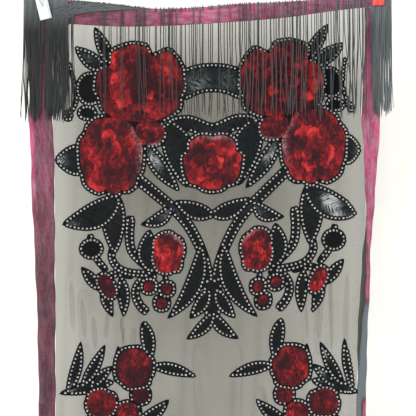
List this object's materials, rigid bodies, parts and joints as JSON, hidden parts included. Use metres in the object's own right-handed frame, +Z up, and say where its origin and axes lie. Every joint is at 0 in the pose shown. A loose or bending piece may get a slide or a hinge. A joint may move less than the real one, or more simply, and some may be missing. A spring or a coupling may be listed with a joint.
{
  "type": "fringed scarf hung by two clothes pegs",
  "caption": "Long sheer net scarf with velvet borders, black leaf and red rose appliqués and fringed ends, hung by its top corners from two clothes pegs.",
  "frame": {"origin": "on the line through the two pegs' upper ends, above the centre line of the rose and leaf design", "axes": "+Z up along the hanging length, +X to the viewer's right across the scarf, front of the scarf faces -Y"},
  "size_m": [0.5295, 0.0266, 1.7374],
  "materials": {
    "net": "sheer net",
    "burgundy_velvet": "crushed velvet",
    "black_satin": "satin stitch",
    "red_velvet": "crushed velvet",
    "fringe_cord": "soft twisted cord",
    "pale_plastic": "moulded",
    "red_plastic": "moulded",
    "spring_steel": "plated wire"
  },
  "bodies": {
    "root": {"net_panel": "net", "border_bottom": "burgundy_velvet", "border_left": "burgundy_velvet", "border_right": "burgundy_velvet", "border_top": "burgundy_velvet", "spray_lower_left": "black_satin", "spray_lower_right": "black_satin", "spray_upper": "black_satin", "fringe_bottom": "fringe_cord", "fringe_top_back": "fringe_cord", "fringe_top_front": "fringe_cord", "peg_left_back": "pale_plastic", "peg_left_front": "pale_plastic", "peg_right_back": "red_plastic", "peg_right_front": "red_plastic", "peg_left_spring": "spring_steel", "peg_right_spring": "spring_steel", "berry_a_left": "red_velvet", "berry_a_right": "red_velvet", "berry_b_left": "red_velvet", "berry_b_right": "red_velvet", "berry_c_left": "red_velvet", "berry_c_right": "red_velvet", "bud_left": "red_velvet", "bud_right": "red_velvet", "petal_lower_left": "red_velvet", "petal_lower_right": "red_velvet", "petal_upper_left": "red_velvet", "petal_upper_right": "red_velvet", "rose_centre": "red_velvet", "rose_low_inner_left": "red_velvet", "rose_low_inner_right": "red_velvet", "rose_low_side_left": "red_velvet", "rose_low_side_right": "red_velvet", "rose_lower_left": "red_velvet", "rose_lower_right": "red_velvet", "rose_middle_left": "red_velvet", "rose_middle_right": "red_velvet", "rose_upper_left": "red_velvet", "rose_upper_right": "red_velvet", "side_bud_left": "red_velvet", "side_bud_right": "red_velvet"}
  },
  "joints": []
}
